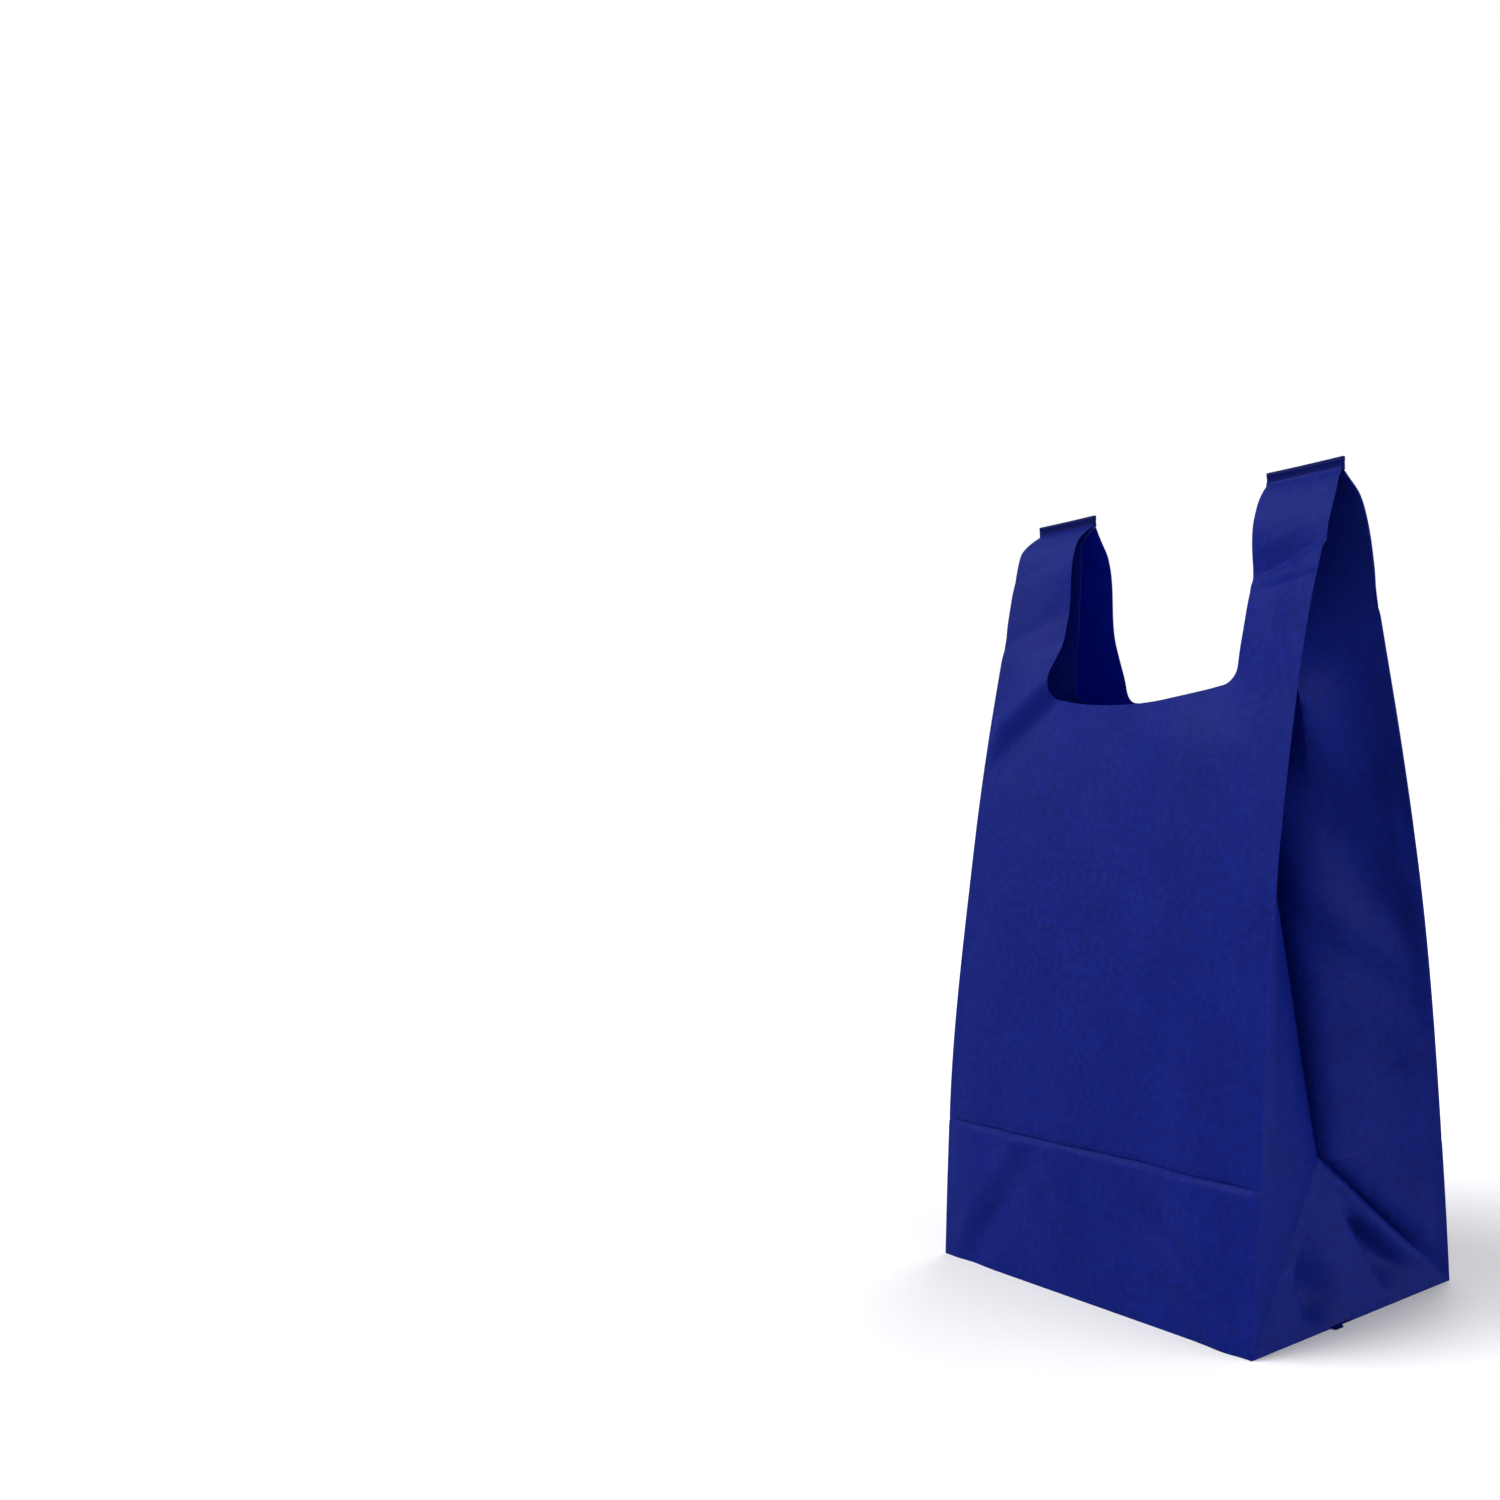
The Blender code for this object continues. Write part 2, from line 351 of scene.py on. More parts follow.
def flare(panel, away):
    """How far a gusset half stands out this far away from the centre fold or the triangle."""
    share = max(0.0, away) / FLARE_REACH
    return FLARE[panel] * share * math.exp(1 - share)


def branch_lip(panel, aside, up):
    """Rolled edge of the base triangle along its upper fold."""
    rise = CREASE_HEIGHT / (DEPTH / 2)
    below = (CREASE_HEIGHT - up - aside * rise) / math.hypot(1.0, rise)
    edge = math.exp(-(((below - LIP_WIDTH) / LIP_WIDTH) ** 2))
    return LIP[panel] * edge * between(up / CREASE_HEIGHT, 0.06, 0.30, 0.80, 1.0)


DENT_DEPTH = {"front": 0.0120, "rear": 0.0115}
DENT_ROOF = 0.0895  # height of the room for dents, at the triangle's middle
WALL_FOOT = 0.009  # the rear dent's inner wall, at this distance from the middle, WALL_LEVEL up
WALL_LEVEL = 0.061
WALL_LEAN = 0.40
FRONT_DENT_HEIGHT = 0.021
FRONT_DENT_REACH = 0.019  # above and below that height


def base_dents(to_rear, up):
    """How far a base triangle is pressed in. to_rear is the distance to the rear of its middle."""
    slope = DENT_ROOF / (DEPTH / 2)
    under_rear_fold = DENT_ROOF - up - to_rear * slope
    under_front_fold = DENT_ROOF - up + to_rear * slope
    from_wall = to_rear - WALL_FOOT - (WALL_LEVEL - up) * WALL_LEAN
    rear = between(from_wall, 0.0, 0.008, 0.006, 0.052) * between(up, 0.005, 0.026, 0.048, 0.066)
    rear *= smooth(0.009, 0.026, under_rear_fold)
    front = between(to_rear, -0.050, -0.037, -0.038, -0.003) * smooth(0.0, 0.012, up)
    front *= math.exp(-(((up - FRONT_DENT_HEIGHT) / FRONT_DENT_REACH) ** 2))
    front *= smooth(0.004, 0.016, under_front_fold)
    return DENT_DEPTH["rear"] * rear + DENT_DEPTH["front"] * front


def lower_gusset(s, height, panel):
    """A gusset half below the crease: a wing at the side fold, and half of the base triangle.

    Gives how far the point lies from the bag's middle line, and how far from the middle plane.
    """
    up = height / CREASE_HEIGHT
    across = s / GUSSET_HALF
    deep = GUSSET_HALF**2 - (CREASE_DEPTH / 2 - LAYER) ** 2
    foot = (WIDTH / 2 - half_width_at(0.0), DEPTH / 2 - LAYER)
    fold = (WIDTH / 2 - half_width_at(CREASE_HEIGHT), CREASE_DEPTH / 2 - LAYER)
    apex = (fold[0] + math.sqrt(deep), LAYER / 2)
    middle = (WIDTH / 2 - half_width_at(0.0), LAYER / 2)
    if across <= up:
        inward = foot[0] + up * (fold[0] - foot[0]) + across * (apex[0] - fold[0])
        aside = foot[1] + up * (fold[1] - foot[1]) + across * (apex[1] - fold[1])
        out = flare(panel, (up - across) * GUSSET_HALF)
        out *= smooth(0.1, 0.5, up) * smooth(0.0, 0.2, across)
        inward -= BOTH_WAYS * out
        aside -= BOTH_WAYS * out
    else:
        inward = foot[0] + across * (middle[0] - foot[0]) + up * (apex[0] - middle[0])
        aside = foot[1] + across * (middle[1] - foot[1]) + up * (apex[1] - middle[1])
        inward += base_dents(aside if panel == "rear" else -aside, height)
    inward -= branch_lip(panel, aside, height)
    return WIDTH / 2 - inward, aside


def upper_gusset(s, height, panel, depth, opposite, middle):
    """A gusset half above the crease, seen from above, as (x, distance from the middle plane).

    depth is its own side fold's distance from the middle plane, opposite the other's, and middle
    the handle's own middle. Near the mouth the strips of a handle swing towards each other until
    their free edges all but meet.
    """
    outer = half_width_at(height)
    side = depth - LAYER
    common = (depth + opposite) / 2 - LAYER
    open_angle = math.asin(min(1.0, common / GUSSET_HALF))
    end = STRIP_END[panel] * half_depth_at(height) + middle + LAYER / 2
    closed_angle = math.asin(min(1.0, max(0.0, side - end) / STRIP))
    angle = mix(open_angle, closed_angle, smooth(*STRIPS_SWING, height))
    if s <= STRIP:
        return outer - s * math.cos(angle), side - s * math.sin(angle)
    knee = outer - STRIP * math.cos(angle), side - STRIP * math.sin(angle)
    rest = GUSSET_HALF - STRIP
    centre = (depth - opposite) / 2 + LAYER / 2
    drop = knee[1] - centre
    valley = knee[0] - math.sqrt(max(0.0, rest * rest - drop * drop))
    share = (s - STRIP) / rest
    return mix(knee[0], valley, share), mix(knee[1], centre, share)


def gusset_waves(side, panel, s, height):
    """How far a gusset half stands out from its plain shape above the crease."""
    across = s / GUSSET_HALF
    out = flare(panel, GUSSET_HALF - s)
    out *= (1 - smooth(0.33, 0.40, height)) * smooth(0.0, 0.2, across)
    if panel == "rear":
        swing = REAR_SWING * math.sin(2 * math.pi * across)
        out -= swing * between(height, *SWING_BETWEEN)
        held = smooth(0.0, 0.014, s) * smooth(0.0, 0.020, GUSSET_HALF - s)
        for start, end, width, depth in REAR_ROLLS:
            out += held * depth * roll(s, height, start, end, width)
    free = smooth(0.0, 0.25, across) * smooth(0.0, 0.2, 1 - across)
    free *= between(height, CREASE_HEIGHT, CREASE_HEIGHT + 0.05, 0.43, 0.49)
    seed = 40.0 + 10 * side + (0 if panel == "front" else 5)
    return out + free * waves(GUSSET_WAVES, s, height, seed)


# The sheet as a mesh. Each row of the mesh runs once round the bag. Its columns are the same
# lines on the flat sheet in every row, so a fold always lies along the mesh.

CELL = 0.0036  # width
TALL_CELL = 0.0046  # height of a cell below the mouth, where there are few creases
STRAP_CELL = 0.0019  # and in the straps
CREASE_ROWS = (1, 2, 3.5)  # rows close above the crease, in FOLD_EASE
BASE_FAN = 10  # columns at each end of the base that meet in one point
FOLD_EASE = 0.0008  # the last cell before a fold is this narrow, so that the fold stays crisp
CORNER_CELLS = 7
BEND_CELL = 0.0014  # height of a cell where the straps bend over into the weld
INTO_WELD = 0.0015  # the sheet's last row runs this far up into the handle weld


def spread(start, end, step):
    """Evenly spaced values from start to end, about this far apart."""
    count = max(1, round((end - start) / step))
    return [mix(start, end, k / count) for k in range(count + 1)]


def half_columns():
    """Distances of the mesh's columns from the panel's middle line, out to the side fold."""
    straight = HANDLE_GAP / 2 - MOUTH_CORNER
    columns = spread(0.0, straight, CELL)
    for step in range(1, CORNER_CELLS):
        columns.append(straight + MOUTH_CORNER * math.sin(math.pi / 2 * step / CORNER_CELLS))
    columns += spread(HANDLE_GAP / 2, WIDTH / 2 - FOLD_EASE, CELL)
    columns.append(WIDTH / 2)
    return columns


def gusset_columns():
    """Distances of a gusset half's columns from the side fold, in to the centre fold."""
    columns = [WIDTH / 2 - x for x in reversed(half_columns())]
    columns = [s for s in columns if s < GUSSET_HALF - 2 * FOLD_EASE]
    return columns + [GUSSET_HALF - FOLD_EASE, GUSSET_HALF]


HALF = half_columns()
GUSSET = gusset_columns()


def laid_under(panel, side, height):
    """Height of the layer that lies against a strap's inside, square to the strap's own slope."""
    step = 0.0002
    across = side * half_width_at(height)
    high = fold_depth(panel, across, min(STRAP_TOP, height + step))
    low = fold_depth(panel, across, height - step)
    slope = (high - low) / (min(STRAP_TOP, height + step) - height + step)
    length = math.hypot(1.0, slope)
    down = LAYER * slope / length * (1 - smooth(STRAP_TOP - 0.0005, STRAP_TOP, height))
    return height + down * smooth(MOUTH_TOP, MOUTH_TOP + 0.03, height)


def panel_point(panel, flat, height):
    """A point of the front or rear panel. flat is its distance to the right of the middle line."""
    reach = abs(flat)
    if reach > HANDLE_GAP / 2:
        share = (reach - HANDLE_GAP / 2) / STRIP
        reach = mix(HANDLE_GAP / 2, half_width_at(height), share)
    across = math.copysign(reach, flat)
    depth = fold_depth(panel, across, height)
    depth += panel_waves(panel, flat, height) + panel_creases(panel, flat, height)
    depth += base_crease(flat, height) - strap_twist(panel, flat, height)
    return Vector((across, -depth if panel == "front" else depth, height))


def gusset_point(side, panel, s, height):
    """A point of a gusset half: side is 1 for the right gusset, and panel is the one it joins."""
    if height < CREASE_HEIGHT:
        x, aside = lower_gusset(s, height, panel)
        at = height
    else:
        across = side * half_width_at(height)
        depths = [fold_depth(name, across, height) for name in (panel, OPPOSITE[panel])]
        middle = handle_centre(side, height) * (1 if panel == "rear" else -1)
        x, aside = upper_gusset(s, height, panel, *depths, middle)
        out = gusset_waves(side, panel, s, height)
        x += BOTH_WAYS * out
        aside -= BOTH_WAYS * out
        at = laid_under(panel, side, height)
    return Vector((side * x, -aside if panel == "front" else aside, at))


def row_height(flat, height):
    """The height of a mesh row in this column: near the mouth the rows follow the cut edge."""
    if flat >= HANDLE_GAP / 2:
        return height
    share = smooth(MOUTH_TOP - MOUTH_EASE, MOUTH_TOP, height)
    return height + share * (mouth_edge(flat) - MOUTH_TOP)


def ring(mesh, height, flats):
    """One row of vertices round the bag. Above the mouth, only the handles' columns have one.

    flats takes each vertex's place on the flat sheet, for the cloth's pattern.
    """
    above = height > MOUTH_TOP + 1e-6
    vertices = []

    def add(flat, across, place, *names):
        """flat says where the column lies, and across where it lies on the flat sheet."""
        if above and flat < HANDLE_GAP / 2 - 1e-6:
            vertices.append(None)
            return
        at = row_height(flat, height)
        vertex = mesh.verts.new(place(*names, at))
        flats[vertex] = (across, at)
        vertices.append(vertex)

    def add_panel(panel, order):
        start = 0.0 if panel == "front" else WIDTH + 2 * GUSSET_HALF
        for flat in order:
            add(abs(flat), start + flat, panel_point, panel, flat)

    def add_gusset(side, panel, order):
        for s in order:
            across = WIDTH / 2 + (s if panel == "front" else 2 * GUSSET_HALF - s)
            add(WIDTH / 2 - s, side * across, gusset_point, side, panel, s)

    whole = [-x for x in reversed(HALF)] + HALF[1:]
    add_panel("front", whole)
    add_gusset(1, "front", GUSSET)
    add_gusset(1, "rear", GUSSET[::-1])
    add_panel("rear", whole[::-1])
    add_gusset(-1, "rear", GUSSET)
    add_gusset(-1, "front", GUSSET[::-1])
    return vertices


def rows_of_sheet():
    """The heights of the rows, from the base up into the handle welds."""
    rows = [CREASE_HEIGHT * s / GUSSET_HALF for s in GUSSET]
    rows += [CREASE_HEIGHT + k * FOLD_EASE for k in CREASE_ROWS]
    rows += spread(rows[-1], MOUTH_TOP, TALL_CELL)[1:]
    rows += spread(MOUTH_TOP, WELD_LEAN_FROM, STRAP_CELL)[1:]
    rows += spread(WELD_LEAN_FROM, STRAP_TOP, BEND_CELL)[1:]
    return rows + [STRAP_TOP + INTO_WELD]


def sheet_mesh():
    """The whole sheet without its thickness, closed at the base.

    Each row's four parts follow each other: front panel, right gusset, rear panel, left gusset.
    The cells of the base triangles are cut in two along the way that the triangle's folds run.
    """
    mesh = bmesh.new()
    flats = {}
    rings = [ring(mesh, height, flats) for height in rows_of_sheet()]
    count = len(rings[0])
    panel = 2 * len(HALF) - 1
    half = len(GUSSET)
    for row, (lower, upper) in enumerate(zip(rings, rings[1:])):
        for i in range(count):
            a, b, c, d = lower[i], lower[(i + 1) % count], upper[(i + 1) % count], upper[i]
            if None in (a, b, c, d):
                continue
            place = (i % (panel + 2 * half)) - panel
            in_base_triangle = row < half - 1 and 0 <= place < 2 * half - 1 and place != half - 1
            if not in_base_triangle:
                mesh.faces.new((a, b, c, d))
            elif place < half - 1:
                mesh.faces.new((a, b, c))
                mesh.faces.new((a, c, d))
            else:
                mesh.faces.new((a, b, d))
                mesh.faces.new((b, c, d))
    base = add_base(mesh, rings[0], panel, half)
    bmesh.ops.recalc_face_normals(mesh, faces=mesh.faces)
    bmesh.ops.translate(mesh, verts=mesh.verts, vec=(0, 0, SHEET / 2))
    layer = mesh.loops.layers.uv.new("flat_sheet")
    for face in mesh.faces:
        for loop in face.loops:
            loop[layer].uv = loop.vert.co.xy if face in base else flats[loop.vert]
    return mesh


def add_base(mesh, lowest, panel, half):
    """The folded base, laid flat between the walls' lowest rows. Gives its faces."""
    front = lowest[:panel]
    right = lowest[panel : panel + 2 * half]
    rear = lowest[panel + 2 * half : 2 * panel + 2 * half][::-1]
    left = lowest[2 * panel + 2 * half :][::-1]
    last = panel - 1 - BASE_FAN
    faces = set()
    for k in range(BASE_FAN, last):
        faces.add(mesh.faces.new((front[k], front[k + 1], rear[k + 1], rear[k])))
    left_edge = front[BASE_FAN::-1] + left + rear[: BASE_FAN + 1]
    right_edge = front[last:] + right + rear[: last - 1 : -1]
    for edge in (left_edge, right_edge):
        middle = mesh.verts.new((edge[0].co + edge[-1].co + 2 * edge[len(edge) // 2].co) / 4)
        for a, b in zip(edge, edge[1:] + edge[:1]):
            faces.add(mesh.faces.new((a, b, middle)))
    return faces


def add_object(name, mesh):
    """Put a mesh into the scene as an object of its own."""
    data = bpy.data.meshes.new(name)
    mesh.to_mesh(data)
    mesh.free()
    thing = bpy.data.objects.new(name, data)
    bpy.context.scene.collection.objects.link(thing)
    return thing


def settle(thing):
    """Turn the modifiers' result into the object's own mesh."""
    result = thing.evaluated_get(bpy.context.evaluated_depsgraph_get())
    data = bpy.data.meshes.new_from_object(result)
    thing.modifiers.clear()
    thing.data = data


bag = add_object("non_woven_bag", sheet_mesh())
skin = bag.modifiers.new("sheet", "SOLIDIFY")
skin.thickness = SHEET
skin.offset = 0.0
settle(bag)

# The handle welds and the bottom seam. A heated comb presses the four layers of each handle into
# one strip: a plain bar along its top, and fine upright ribs below. The seam under the base is
# the same, turned flat towards the front, and its ends just show past the bag's sides.

WELD_THICKNESS = 0.0030
WELD_OVERHANG = 0.0013  # past each side of the strap
WELD_BAR = 0.003  # height of the plain bar
WELD_STEP = 0.0006  # height of the step from the strap to the weld's ribs
WELD_EDGE = 0.0006  # the weld's outer edges thin down over this width
EDGE_THINNER = 0.0004  # by this much on each side
WELD_BOW = 0.0006  # the middle of a weld is bent back this far
RIB_PITCH = 0.0019
RIB_DEPTH = 0.0003
RIB_COLUMNS = 4  # columns of the mesh in each rib
SEAM_WIDTH = 0.020
SEAM_FRONT = -0.026
SEAM_CELLS = 50  # along the seam
SEAM_STEP = 0.001  # width of a cell across it
SEAM_THICKNESS = 0.0012
SEAM_TAB = 0.0036  # how far its ends show past the base
SEAM_TAB_WIDTH = 0.008
SHARP_FROM = math.radians(50)  # an edge that turns more than this looks sharp


def slab(mesh, columns, levels, place):
    """A closed slab: place(column, level, face) gives its points, with face -1 near and 1 far."""
    sheets = []
    for face in (-1, 1):
        rows = [[mesh.verts.new(place(c, v, face)) for c in columns] for v in levels]
        sheets.append(rows)
    near, far = sheets
    for rows, turned in ((near, False), (far, True)):
        for low, high in zip(rows, rows[1:]):
            for k in range(len(columns) - 1):
                corners = (low[k], low[k + 1], high[k + 1], high[k])
                mesh.faces.new(corners[::-1] if turned else corners)
    for a, b in ((near[0], far[0]), (far[-1], near[-1])):
        for k in range(len(columns) - 1):
            mesh.faces.new((b[k], b[k + 1], a[k + 1], a[k]))
    for k in (0, -1):
        for low, high, low_far, high_far in zip(near, near[1:], far, far[1:]):
            corners = (low_far[k], low[k], high[k], high_far[k])
            mesh.faces.new(corners if k == 0 else corners[::-1])


def weld_mesh(side):
    """The weld across the top of one handle."""
    mesh = bmesh.new()
    inner = HANDLE_GAP / 2 - WELD_OVERHANG
    outer = half_width_at(STRAP_TOP) + WELD_OVERHANG
    columns = spread(inner, outer, RIB_PITCH / RIB_COLUMNS)
    ribbed = HEIGHT - WELD_BAR
    levels = [STRAP_TOP, STRAP_TOP + WELD_STEP]
    levels += [ribbed - 0.0010, ribbed - 0.0002, ribbed + 0.0004, HEIGHT - 0.0005, HEIGHT]

    def place(column, level, face):
        half = WELD_THICKNESS / 2
        edge = min(column - inner, outer - column, HEIGHT - level, 1.0)
        half -= EDGE_THINNER * (1 - smooth(0.0, WELD_EDGE, edge))
        if STRAP_TOP < level < ribbed:
            turn = 2 * math.pi * (column - inner) / RIB_PITCH
            half -= RIB_DEPTH * (0.5 + 0.5 * math.cos(turn))
        bow = WELD_BOW * math.sin(math.pi * (column - inner) / (outer - inner))
        return Vector((side * column, WELD_BACK[side] + bow + face * half, level))

    slab(mesh, columns, levels, place)
    bmesh.ops.recalc_face_normals(mesh, faces=mesh.faces)
    return mesh


def seam_mesh():
    """The seam that closes the bag's bottom, laid flat under the folded base."""
    mesh = bmesh.new()
    columns = spread(-1.0, 1.0, 2 / SEAM_CELLS)
    levels = spread(SEAM_FRONT, SEAM_FRONT + SEAM_WIDTH, SEAM_STEP)
    tab_end = SEAM_FRONT + SEAM_TAB_WIDTH

    def place(column, level, face):
        tab = 1 - smooth(tab_end - SEAM_STEP, tab_end + SEAM_STEP, level)
        reach = half_width_at(0.0) + SHEET / 2 + SEAM_TAB * tab
        return Vector((column * reach, level, SHEET / 4 if face < 0 else SEAM_THICKNESS))

    slab(mesh, columns, levels, place)
    bmesh.ops.recalc_face_normals(mesh, faces=mesh.faces)
    return mesh


def join_to_bag(mesh):
    """Make a weld part of the bag's one mesh, with its own finish in the second material slot."""
    layer = mesh.loops.layers.uv.new("flat_sheet")
    for face in mesh.faces:
        face.material_index = 1
        for loop in face.loops:
            loop[layer].uv = (loop.vert.co.x, loop.vert.co.z + loop.vert.co.y)
    whole = bmesh.new()
    whole.from_mesh(bag.data)
    extra = bpy.data.meshes.new("weld")
    mesh.to_mesh(extra)
    mesh.free()
    whole.from_mesh(extra)
    whole.to_mesh(bag.data)
    whole.free()
    bpy.data.meshes.remove(extra)


join_to_bag(weld_mesh(1))
join_to_bag(weld_mesh(-1))
join_to_bag(seam_mesh())
bag.data.shade_smooth()
bag.data.set_sharp_from_angle(angle=SHARP_FROM)

# The spunbond polypropylene. Endless filaments of blue-dyed plastic are laid down at random and
# pressed together at small bond points, which gives a matt, slightly mottled cloth with a faint
# fibre sheen. It is thin enough to glow a little where light falls on its far side.

FILAMENT_CLOUD = 0.005  # uneven patches where more filaments happened to fall
WIDE_CLOUD = 0.045  # and the wide bands of the web that they were laid in
WIDE_SHARE = 0.35  # of the wide clouds in the mottle
BOND_PITCH = 0.0016  # the embossed points are 1.3 mm apart, drawn a little coarser to show
BOND_SIZE = 0.30  # radius of a point, as a share of the pitch
BOND_SOFT = 0.08  # half of its soft rim
BOND_SHADE = 0.35  # share of the darker shade in a point
FIBRE = 0.0010  # filament loops are finer than this, and drawn as coarse as they need to show
SEALED_GRAIN = 0.0011  # what is left of the fused filaments in a weld
SHOWS_THROUGH = 0.22  # share of the light that the thin cloth lets through
MIX_SHARE, MIX_FIRST, MIX_SECOND, MIX_COLOUR = 0, 6, 7, 2  # sockets of a node that mixes colours


def linear(code):
    """A colour that was picked as sRGB hex, as the linear values that Blender works with."""
    values = [int(code[k : k + 2], 16) / 255 for k in (1, 3, 5)]  # red, green, blue
    values = [v / 12.92 if v <= 0.04045 else ((v + 0.055) / 1.055) ** 2.4 for v in values]
    return (*values, 1.0)


def node(tree, kind, settings=(), links=()):
    """Add a node, with its settings by property or input, and its links by input."""
    added = tree.nodes.new(kind)
    for name, value in dict(settings).items():
        if isinstance(name, int) or name in added.inputs:
            added.inputs[name].default_value = value
        else:
            setattr(added, name, value)
    for name, source in dict(links).items():
        tree.links.new(source, added.inputs[name])
    return added


def bond_points(tree, flat):
    """1 inside each embossed bond point of the cloth, which stand in a diamond grid."""
    turned = node(
        tree,
        "ShaderNodeMapping",
        {"Rotation": (0, 0, math.radians(45)), "Scale": (1 / BOND_PITCH,) * 3},
        {"Vector": flat},
    )
    cells = node(
        tree,
        "ShaderNodeTexVoronoi",
        {"voronoi_dimensions": "2D", "Scale": 1.0, "Randomness": 0.0},
        {"Vector": turned.outputs["Vector"]},
    )
    return node(
        tree,
        "ShaderNodeMapRange",
        {
            "From Min": BOND_SIZE - BOND_SOFT,
            "From Max": BOND_SIZE + BOND_SOFT,
            "To Min": 1.0,
            "To Max": 0.0,
        },
        {"Value": cells.outputs["Distance"]},
    ).outputs["Result"]


def spunbond_polypropylene():
    """Matt blue cloth: mottled by its filaments, dotted by its bonds, and a little see-through."""
    material = bpy.data.materials.new("spunbond_polypropylene_royal_blue")
    material.use_nodes = True
    tree = material.node_tree
    tree.nodes.clear()
    flat = node(tree, "ShaderNodeUVMap", {"uv_map": "flat_sheet"}).outputs["UV"]
    mottle = node(
        tree,
        "ShaderNodeTexNoise",
        {"Scale": 1 / FILAMENT_CLOUD, "Detail": 5.0, "Roughness": 0.62},
        {"Vector": flat},
    )
    clouds = node(
        tree,
        "ShaderNodeTexNoise",
        {"Scale": 1 / WIDE_CLOUD, "Detail": 2.0},
        {"Vector": flat},
    )
    fibres = node(
        tree,
        "ShaderNodeTexNoise",
        {"Scale": 1 / FIBRE, "Detail": 2.0, "Distortion": 1.6},
        {"Vector": flat},
    )
    points = bond_points(tree, flat)
    uneven = node(
        tree,
        "ShaderNodeMath",
        {"operation": "MULTIPLY_ADD", 1: WIDE_SHARE},
        {0: clouds.outputs["Fac"], 2: mottle.outputs["Fac"]},
    )
    share = node(
        tree,
        "ShaderNodeMapRange",
        {"From Min": 0.48, "From Max": 0.87},
        {"Value": uneven.outputs["Value"]},
    )
    shade = node(
        tree,
        "ShaderNodeMix",
        {"data_type": "RGBA", MIX_FIRST: linear("#051156"), MIX_SECOND: linear("#0A1A6C")},
        {MIX_SHARE: share.outputs["Result"]},
    )
    faint = node(tree, "ShaderNodeMath", {"operation": "MULTIPLY", 1: BOND_SHADE}, {0: points})
    pressed = node(
        tree,
        "ShaderNodeMix",
        {"data_type": "RGBA", MIX_SECOND: linear("#051152")},
        {MIX_SHARE: faint.outputs["Value"], MIX_FIRST: shade.outputs[MIX_COLOUR]},
    )
    raised = node(
        tree,
        "ShaderNodeMath",
        {"operation": "MULTIPLY_ADD", 1: 0.7},
        {0: fibres.outputs["Fac"], 2: mottle.outputs["Fac"]},
    )
    height = node(
        tree,
        "ShaderNodeMath",
        {"operation": "MULTIPLY_ADD", 1: -0.5},
        {0: points, 2: raised.outputs["Value"]},
    )
    bump = node(
        tree,
        "ShaderNodeBump",
        {"Strength": 0.30, "Distance": 0.0003},
        {"Height": height.outputs["Value"]},
    )
    cloth = node(
        tree,
        "ShaderNodeBsdfPrincipled",
        {"Roughness": 0.50, "IOR": 1.49, "Specular IOR Level": 0.040},
        {"Base Color": pressed.outputs[MIX_COLOUR], "Normal": bump.outputs["Normal"]},
    )
    glow = node(
        tree,
        "ShaderNodeBsdfTranslucent",
        {"Color": linear("#2E52E8")},
        {"Normal": bump.outputs["Normal"]},
    )
    thin = node(
        tree,
        "ShaderNodeMixShader",
        {0: SHOWS_THROUGH},
        {1: cloth.outputs["BSDF"], 2: glow.outputs["BSDF"]},
    )
    node(tree, "ShaderNodeOutputMaterial", {}, {"Surface": thin.outputs["Shader"]})
    return material


def heat_sealed_polypropylene():
    """The same cloth fused to a solid film: darker and smoother."""
    material = bpy.data.materials.new("heat_sealed_polypropylene_navy")
    material.use_nodes = True
    tree = material.node_tree
    tree.nodes.clear()
    flat = node(tree, "ShaderNodeUVMap", {"uv_map": "flat_sheet"}).outputs["UV"]
    uneven = node(
        tree,
        "ShaderNodeTexNoise",
        {"Scale": 1 / SEALED_GRAIN, "Detail": 3.0},
        {"Vector": flat},
    )
    shade = node(
        tree,
        "ShaderNodeMix",
        {"data_type": "RGBA", MIX_FIRST: linear("#02073A"), MIX_SECOND: linear("#040A46")},
        {MIX_SHARE: uneven.outputs["Fac"]},
    )
    bump = node(
        tree,
        "ShaderNodeBump",
        {"Strength": 0.2, "Distance": 0.0002},
        {"Height": uneven.outputs["Fac"]},
    )
    film = node(
        tree,
        "ShaderNodeBsdfPrincipled",
        {"Roughness": 0.40, "IOR": 1.49, "Specular IOR Level": 0.02},
        {"Base Color": shade.outputs[MIX_COLOUR], "Normal": bump.outputs["Normal"]},
    )
    node(tree, "ShaderNodeOutputMaterial", {}, {"Surface": film.outputs["BSDF"]})
    return material


bag.data.materials.append(spunbond_polypropylene())
bag.data.materials.append(heat_sealed_polypropylene())
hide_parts("bag")
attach(bag, "root")

# The studio: a plain pale floor that runs on to the horizon, wide soft lights from the front left,
# the bag's right and the rear, and the camera at the photograph's viewing angle.

CAMERA_PLACE = (0.72328, -0.74261, 0.32969)
CAMERA_YAW = math.radians(47.929)
CAMERA_PITCH = math.radians(0.355)
CAMERA_ROLL = math.radians(-1.342)
CAMERA_SENSOR = 36.0  # mm
CAMERA_LENS = 35.65  # mm
CAMERA_SHIFT = (-0.22, 0.0233)
FLOOR_REACH = 12.0
LIGHT_ANGLE = math.radians(50)  # how wide each light looks from the bag


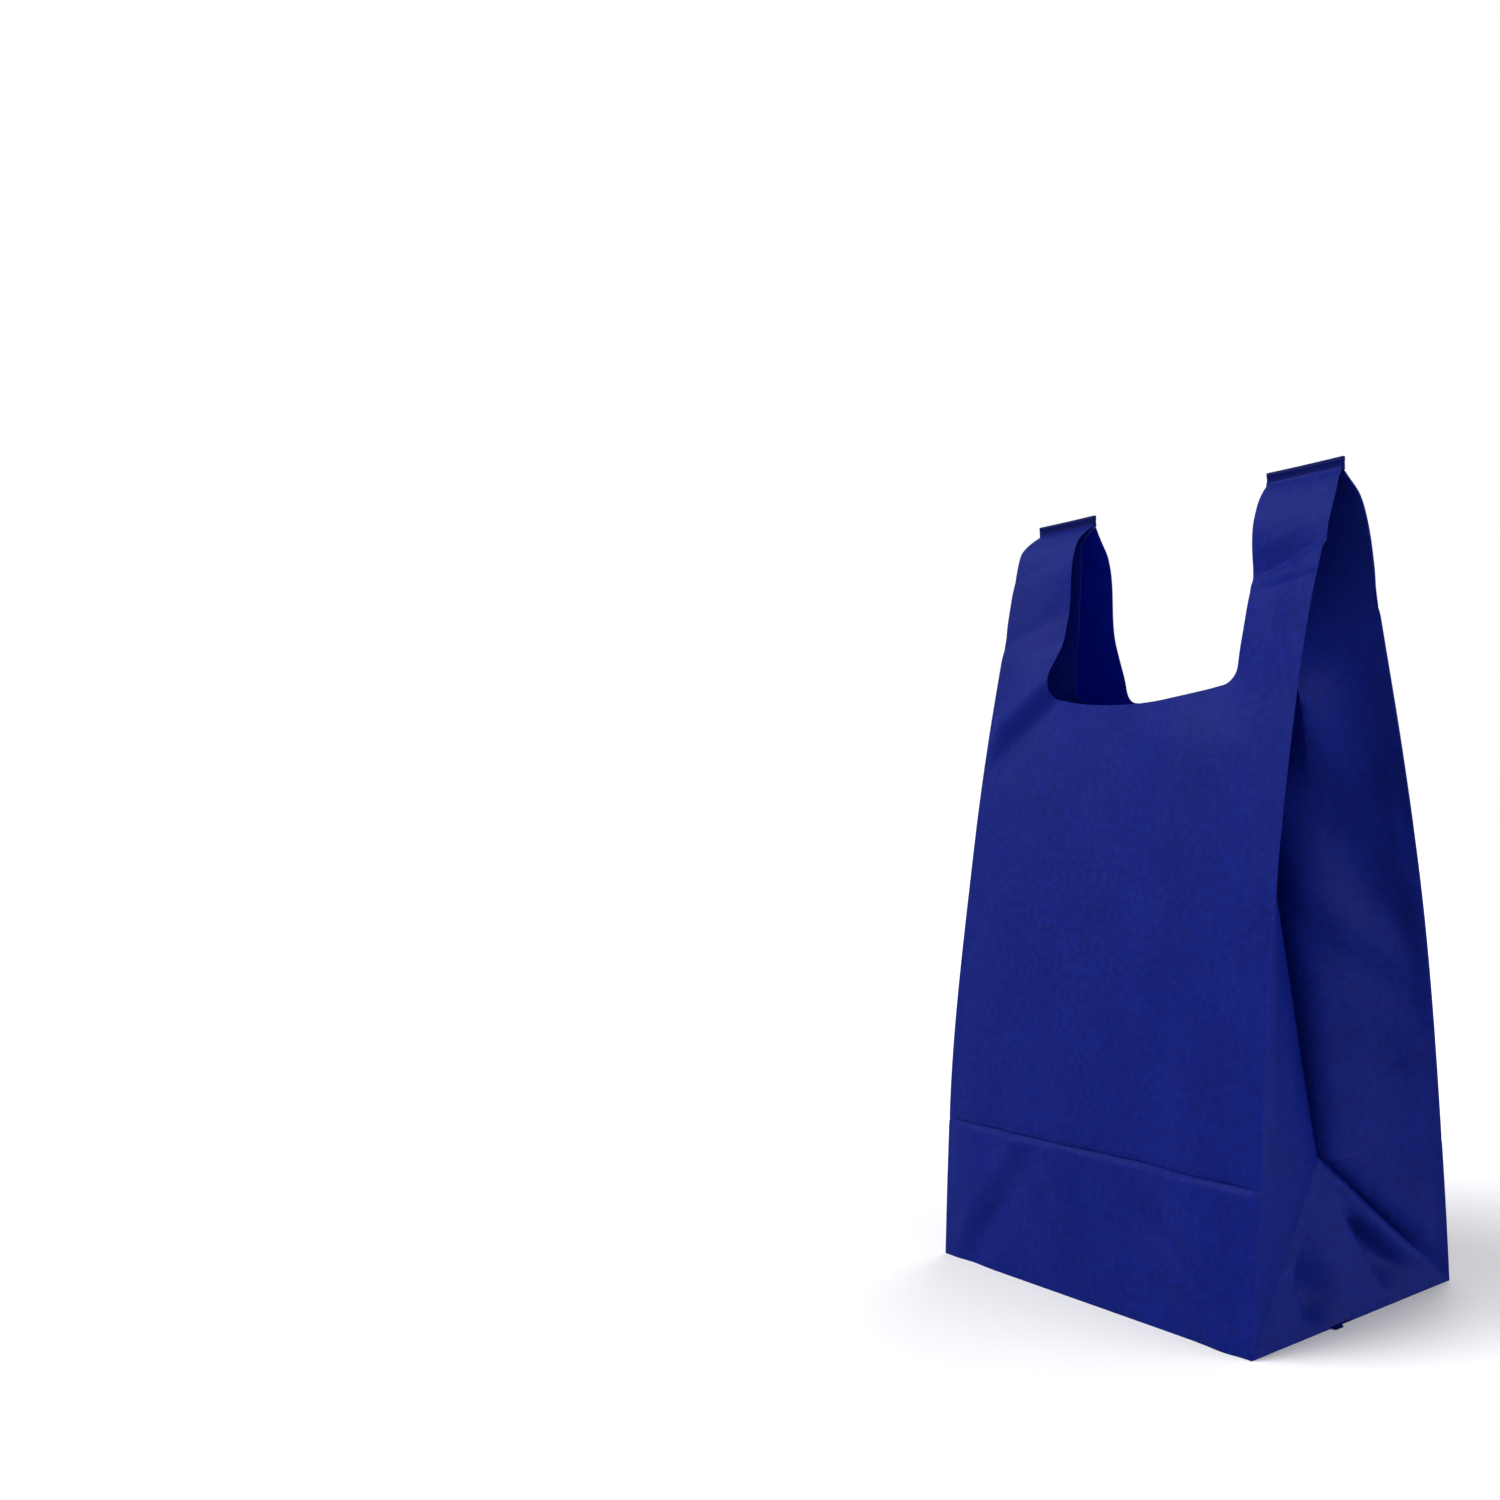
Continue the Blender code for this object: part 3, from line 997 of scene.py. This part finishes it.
def place_camera():
    data = bpy.data.cameras.new("camera")
    data.sensor_width = CAMERA_SENSOR
    data.lens = CAMERA_LENS
    data.shift_x, data.shift_y = CAMERA_SHIFT
    data.clip_start = 0.01
    level = Vector((math.cos(CAMERA_YAW), math.sin(CAMERA_YAW), 0))
    ahead = Vector((-math.sin(CAMERA_YAW), math.cos(CAMERA_YAW), 0)) * math.cos(CAMERA_PITCH)
    ahead.z = math.sin(CAMERA_PITCH)
    up = level.cross(ahead)
    right = level * math.cos(CAMERA_ROLL) + up * math.sin(CAMERA_ROLL)
    up = up * math.cos(CAMERA_ROLL) - level * math.sin(CAMERA_ROLL)
    camera = bpy.data.objects.new("camera", data)
    turn = Matrix((right, up, -ahead)).transposed().to_4x4()
    camera.matrix_world = Matrix.Translation(CAMERA_PLACE) @ turn
    bpy.context.scene.collection.objects.link(camera)
    bpy.context.scene.camera = camera


def pale_floor():
    mesh = bmesh.new()
    bmesh.ops.create_circle(mesh, cap_ends=True, segments=96, radius=FLOOR_REACH)
    floor = add_object("floor", mesh)
    material = bpy.data.materials.new("matt_white_floor")
    material.use_nodes = True
    shader = material.node_tree.nodes["Principled BSDF"]
    shader.inputs["Base Color"].default_value = linear("#C6C6C8")
    shader.inputs["Roughness"].default_value = 0.9
    floor.data.materials.append(material)


def soft_light(name, source, strength):
    """A far, very wide light. source is the direction that it shines from."""
    data = bpy.data.lights.new(name, "SUN")
    data.angle = LIGHT_ANGLE
    data.energy = strength
    light = bpy.data.objects.new(name, data)
    light.rotation_euler = Vector(source).to_track_quat("Z", "Y").to_euler()
    bpy.context.scene.collection.objects.link(light)


def pale_surroundings(strength):
    """A white background, whose light on the objects has this strength."""
    world = bpy.data.worlds.new("studio")
    world.use_nodes = True
    tree = world.node_tree
    rays = node(tree, "ShaderNodeLightPath")
    seen = node(
        tree,
        "ShaderNodeMapRange",
        {"To Min": strength, "To Max": 1.0},
        {"Value": rays.outputs["Is Camera Ray"]},
    )
    sky = tree.nodes["Background"]
    sky.inputs["Color"].default_value = (1, 1, 1, 1)
    tree.links.new(seen.outputs["Result"], sky.inputs["Strength"])
    bpy.context.scene.world = world


place_camera()
pale_floor()
soft_light("key", (-0.42, -0.62, 0.66), 4.7)
soft_light("side", (0.84, 0.42, 0.30), 3.0)
soft_light("rear", (-0.35, 0.85, 0.40), 1.8)
pale_surroundings(0.6)
bpy.context.scene.view_settings.view_transform = "Standard"
